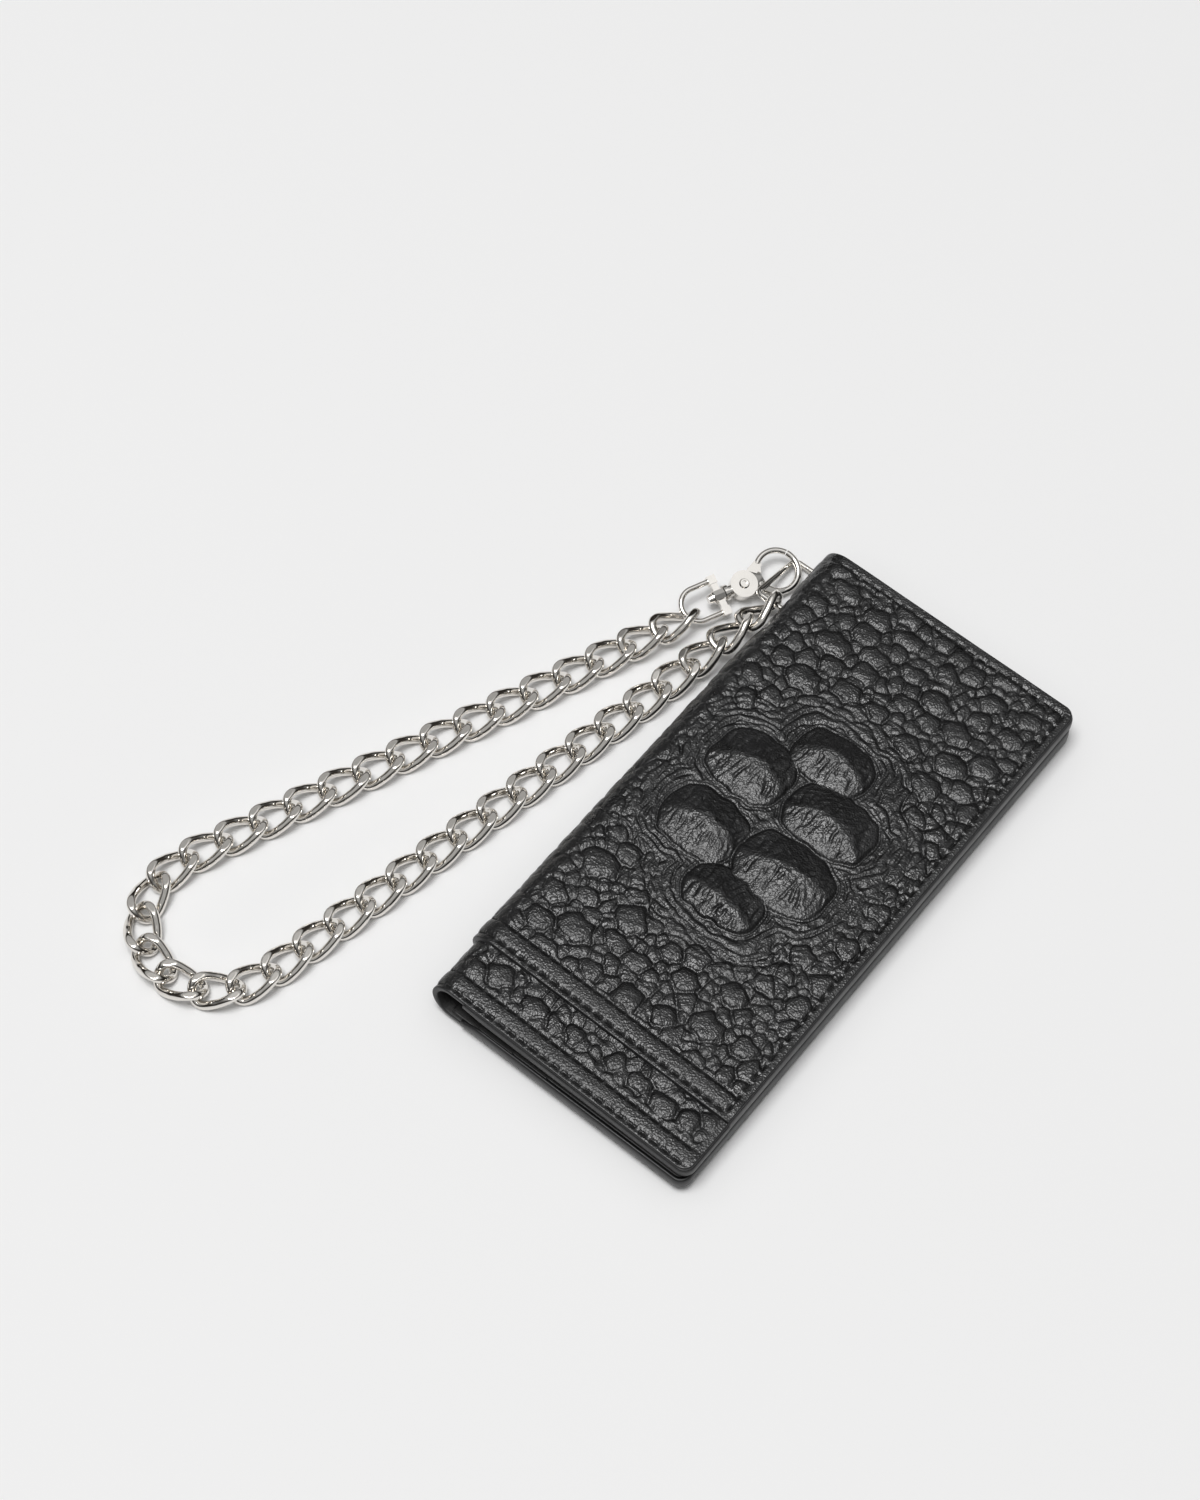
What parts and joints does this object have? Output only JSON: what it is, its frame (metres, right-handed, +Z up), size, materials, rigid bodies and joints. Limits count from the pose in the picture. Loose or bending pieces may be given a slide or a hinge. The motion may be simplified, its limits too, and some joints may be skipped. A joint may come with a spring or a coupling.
{
  "type": "chain wallet",
  "caption": "Long fold-over leather wallet with crocodile-grain outer panels, card slots and a note pocket, and a curb chain that loops from a swivel snap back to a ring in the fold.",
  "frame": {"origin": "middle of the flat underside of the closed wallet, on the surface it lies on", "axes": "+X from the fold to the open edge, +Y along the fold from the end with the panel's mouth to the end with the ring, +Z up through the closed wallet"},
  "size_m": [0.1923, 0.2465, 0.0185],
  "materials": {
    "grained_leather": "embossed, soft sheen",
    "smooth_leather": "smooth, semi-matte, painted edges",
    "lining_leather": "matte lining",
    "polished_nickel": "polished nickel plate",
    "chain_nickel": "polished nickel plate with ground flats"
  },
  "bodies": {
    "back": {"back_cover": "smooth_leather", "back_outer_panel": "grained_leather", "back_lining": "lining_leather", "back_card_slot_1": "lining_leather", "back_card_slot_2": "lining_leather", "bill_pocket": "lining_leather", "ring_tab": "smooth_leather", "spine_fold": "grained_leather"},
    "front": {"front_cover": "smooth_leather", "front_outer_panel": "grained_leather", "front_lining": "lining_leather", "front_card_slot_1": "lining_leather", "front_card_slot_2": "lining_leather"},
    "ring": {"d_ring": "polished_nickel"},
    "clasp": {"clasp_hook": "polished_nickel", "trigger_rivet": "polished_nickel", "trigger_spring": "polished_nickel", "swivel_post": "polished_nickel"},
    "trigger": {"clasp_trigger": "polished_nickel"},
    "bail": {"swivel_bail": "polished_nickel"},
    "chain_row_01": {"link_01": "chain_nickel", "link_39": "chain_nickel"},
    "chain_row_02": {"link_02": "chain_nickel", "link_38": "chain_nickel"},
    "chain_row_03": {"link_03": "chain_nickel", "link_37": "chain_nickel"},
    "chain_row_04": {"link_04": "chain_nickel", "link_36": "chain_nickel"},
    "chain_row_05": {"link_05": "chain_nickel", "link_35": "chain_nickel"},
    "chain_row_06": {"link_06": "chain_nickel", "link_34": "chain_nickel"},
    "chain_row_07": {"link_07": "chain_nickel", "link_33": "chain_nickel"},
    "chain_row_08": {"link_08": "chain_nickel", "link_32": "chain_nickel"},
    "chain_row_09": {"link_09": "chain_nickel", "link_31": "chain_nickel"},
    "chain_row_10": {"link_10": "chain_nickel", "link_30": "chain_nickel"},
    "chain_row_11": {"link_11": "chain_nickel", "link_29": "chain_nickel"},
    "chain_row_12": {"link_12": "chain_nickel", "link_28": "chain_nickel"},
    "chain_row_13": {"link_13": "chain_nickel", "link_27": "chain_nickel"},
    "chain_row_14": {"link_14": "chain_nickel", "link_26": "chain_nickel"},
    "chain_row_15": {"link_15": "chain_nickel", "link_25": "chain_nickel"},
    "chain_row_16": {"link_16": "chain_nickel", "link_24": "chain_nickel"},
    "chain_row_17": {"link_17": "chain_nickel", "link_23": "chain_nickel"},
    "chain_row_18": {"link_18": "chain_nickel", "link_22": "chain_nickel"},
    "chain_row_19": {"link_19": "chain_nickel", "link_21": "chain_nickel"},
    "chain_row_20": {"link_20": "chain_nickel"}
  },
  "joints": [
    {"name": "cover_fold", "type": "hinge", "parent": "back", "child": "front", "pos_m": [-0.04875, 0, 0.0083], "axis": [0, -1, 0], "range_deg": [0, 120], "deforming": ["spine_fold"]},
    {"name": "ring_swing", "type": "hinge", "parent": "back", "child": "ring", "pos_m": [-0.04615, 0.0855, 0.0046], "axis": [0, -0.9613, 0.2756], "range_deg": [-20, 15]},
    {"name": "clasp_swing", "type": "hinge", "parent": "ring", "child": "clasp", "pos_m": [-0.05835, 0.08694, 0.00419], "axis": [0.4839, -0.8412, 0.2412], "range_deg": [-4, 10]},
    {"name": "trigger_pivot", "type": "hinge", "parent": "clasp", "child": "trigger", "pos_m": [-0.06442, 0.07586, 0.00488], "axis": [0.2931, -0.1008, 0.9507], "range_deg": [0, 28], "stiffness_Nm_per_rad": 0.03, "springref_deg": -20.05},
    {"name": "bail_swivel", "type": "hinge", "parent": "clasp", "child": "bail", "pos_m": [-0.068, 0.0676, 0.00511], "axis": [0.3986, 0.9168, -0.0257], "range_deg": [-12, 15]},
    {"name": "chain_bend_01", "type": "hinge", "parent": "clasp", "child": "chain_row_01", "pos_m": [-0.0614, 0.06656, 0.00594], "axis": [0.6698, 0.7368, 0.0917], "range_deg": [-10, 6]},
    {"name": "chain_bend_02", "type": "hinge", "parent": "chain_row_01", "child": "chain_row_02", "pos_m": [-0.06471, 0.05523, 0.00566], "axis": [0.7218, 0.6876, 0.0791], "range_deg": [-10, 10]},
    {"name": "chain_bend_03", "type": "hinge", "parent": "chain_row_02", "child": "chain_row_03", "pos_m": [-0.06803, 0.0439, 0.00501], "axis": [0.767, 0.6393, 0.055], "range_deg": [-10, 10]},
    {"name": "chain_bend_04", "type": "hinge", "parent": "chain_row_03", "child": "chain_row_04", "pos_m": [-0.07134, 0.03257, 0.00423], "axis": [0.8054, 0.5921, 0.0286], "range_deg": [-10, 10]},
    {"name": "chain_bend_05", "type": "hinge", "parent": "chain_row_04", "child": "chain_row_05", "pos_m": [-0.07465, 0.02124, 0.00357], "axis": [0.8374, 0.5465, 0.0081], "range_deg": [-10, 10]},
    {"name": "chain_bend_06", "type": "hinge", "parent": "chain_row_05", "child": "chain_row_06", "pos_m": [-0.07797, 0.00991, 0.0033], "axis": [0.8641, 0.5033, 0], "range_deg": [-10, 10]},
    {"name": "chain_bend_07", "type": "hinge", "parent": "chain_row_06", "child": "chain_row_07", "pos_m": [-0.08128, -0.00142, 0.0033], "axis": [0.8865, 0.4626, 0], "range_deg": [-10, 10]},
    {"name": "chain_bend_08", "type": "hinge", "parent": "chain_row_07", "child": "chain_row_08", "pos_m": [-0.08459, -0.01275, 0.0033], "axis": [0.9053, 0.4247, 0], "range_deg": [-10, 10]},
    {"name": "chain_bend_09", "type": "hinge", "parent": "chain_row_08", "child": "chain_row_09", "pos_m": [-0.0879, -0.02408, 0.0033], "axis": [0.921, 0.3895, 0], "range_deg": [-10, 10]},
    {"name": "chain_bend_10", "type": "hinge", "parent": "chain_row_09", "child": "chain_row_10", "pos_m": [-0.09122, -0.03541, 0.0033], "axis": [0.9342, 0.3567, 0], "range_deg": [-10, 10]},
    {"name": "chain_bend_11", "type": "hinge", "parent": "chain_row_10", "child": "chain_row_11", "pos_m": [-0.09453, -0.04674, 0.0033], "axis": [0.9452, 0.3264, 0], "range_deg": [-10, 10]},
    {"name": "chain_bend_12", "type": "hinge", "parent": "chain_row_11", "child": "chain_row_12", "pos_m": [-0.09784, -0.05807, 0.0033], "axis": [0.9545, 0.2983, 0], "range_deg": [-10, 10]},
    {"name": "chain_bend_13", "type": "hinge", "parent": "chain_row_12", "child": "chain_row_13", "pos_m": [-0.10116, -0.0694, 0.0033], "axis": [0.9622, 0.2723, 0], "range_deg": [-10, 10]},
    {"name": "chain_bend_14", "type": "hinge", "parent": "chain_row_13", "child": "chain_row_14", "pos_m": [-0.10447, -0.08073, 0.0033], "axis": [0.9687, 0.2481, 0], "range_deg": [-10, 10]},
    {"name": "chain_bend_15", "type": "hinge", "parent": "chain_row_14", "child": "chain_row_15", "pos_m": [-0.10778, -0.09206, 0.0033], "axis": [0.9742, 0.2257, 0], "range_deg": [-10, 10]},
    {"name": "chain_bend_16", "type": "hinge", "parent": "chain_row_15", "child": "chain_row_16", "pos_m": [-0.1111, -0.10339, 0.0033], "axis": [0.9788, 0.2049, 0], "range_deg": [-10, 10]},
    {"name": "chain_bend_17", "type": "hinge", "parent": "chain_row_16", "child": "chain_row_17", "pos_m": [-0.11327, -0.11499, 0.0033], "axis": [0.979, 0.2037, 0], "range_deg": [-10, 10]},
    {"name": "chain_bend_18", "type": "hinge", "parent": "chain_row_17", "child": "chain_row_18", "pos_m": [-0.1126, -0.1264, 0.0033], "axis": [0.9756, 0.2194, 0], "range_deg": [-10, 10]},
    {"name": "chain_bend_19", "type": "hinge", "parent": "chain_row_18", "child": "chain_row_19", "pos_m": [-0.11048, -0.13595, 0.0033], "axis": [0.9755, 0.22, 0], "range_deg": [-7, 7]},
    {"name": "chain_bend_20", "type": "hinge", "parent": "chain_row_19", "child": "chain_row_20", "pos_m": [-0.10926, -0.14138, 0.0033], "axis": [0.9755, 0.22, 0], "range_deg": [-4, 4]}
  ]
}
